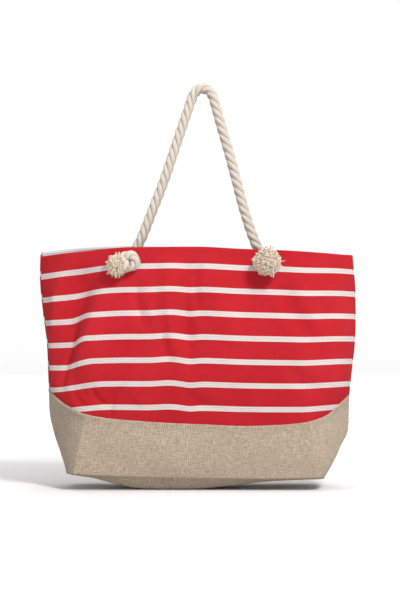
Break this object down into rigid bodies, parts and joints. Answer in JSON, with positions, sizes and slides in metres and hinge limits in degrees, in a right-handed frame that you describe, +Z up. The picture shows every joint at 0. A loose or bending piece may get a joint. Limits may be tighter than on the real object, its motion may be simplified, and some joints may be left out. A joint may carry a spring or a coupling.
{
  "type": "beach bag",
  "caption": "Open tote for the beach: lined striped canvas body on a burlap base, with knotted rope handles that swing at the rim.",
  "frame": {"origin": "middle of the flat patch under the base that the bag stands on", "axes": "+X right seen from the front, +Z up, the front faces -Y"},
  "size_m": [0.536, 0.1954, 0.6903],
  "materials": {
    "canvas": "woven cotton canvas, matt, red with white woven stripes",
    "burlap": "coarse plain-woven jute, matt",
    "lining": "plain cotton, matt",
    "facing": "white cotton canvas, matt",
    "rope": "three-strand twisted cotton",
    "frayed_cotton": "loose cotton yarn ends",
    "eyelet_metal": "nickel-plated pressed brass"
  },
  "bodies": {
    "bag": {"back_burlap_panel": "burlap", "back_canvas_panel": "canvas", "back_hem_facing": "facing", "back_left_eyelet": "eyelet_metal", "back_left_eyelet_washer": "eyelet_metal", "back_left_frayed_end": "frayed_cotton", "back_left_knot": "rope", "back_left_rope_stub": "rope", "back_lining_panel": "lining", "back_right_eyelet": "eyelet_metal", "back_right_eyelet_washer": "eyelet_metal", "back_right_frayed_end": "frayed_cotton", "back_right_knot": "rope", "back_right_rope_stub": "rope", "base_lining": "lining", "base_panel": "burlap", "front_burlap_panel": "burlap", "front_canvas_panel": "canvas", "front_hem_facing": "facing", "front_left_eyelet": "eyelet_metal", "front_left_eyelet_washer": "eyelet_metal", "front_left_frayed_end": "frayed_cotton", "front_left_knot": "rope", "front_left_rope_stub": "rope", "front_lining_panel": "lining", "front_right_eyelet": "eyelet_metal", "front_right_eyelet_washer": "eyelet_metal", "front_right_frayed_end": "frayed_cotton", "front_right_knot": "rope", "front_right_rope_stub": "rope"},
    "front_handle": {"front_handle_rope": "rope"},
    "back_handle": {"back_handle_rope": "rope"}
  },
  "joints": [
    {"name": "front_handle_swing", "type": "hinge", "parent": "bag", "child": "front_handle", "pos_m": [0, -0.0395, 0.408], "axis": [1, 0, 0], "range_deg": [0, 120]},
    {"name": "back_handle_swing", "type": "hinge", "parent": "bag", "child": "back_handle", "pos_m": [0, 0.0395, 0.408], "axis": [-1, 0, 0], "range_deg": [0, 120]}
  ]
}
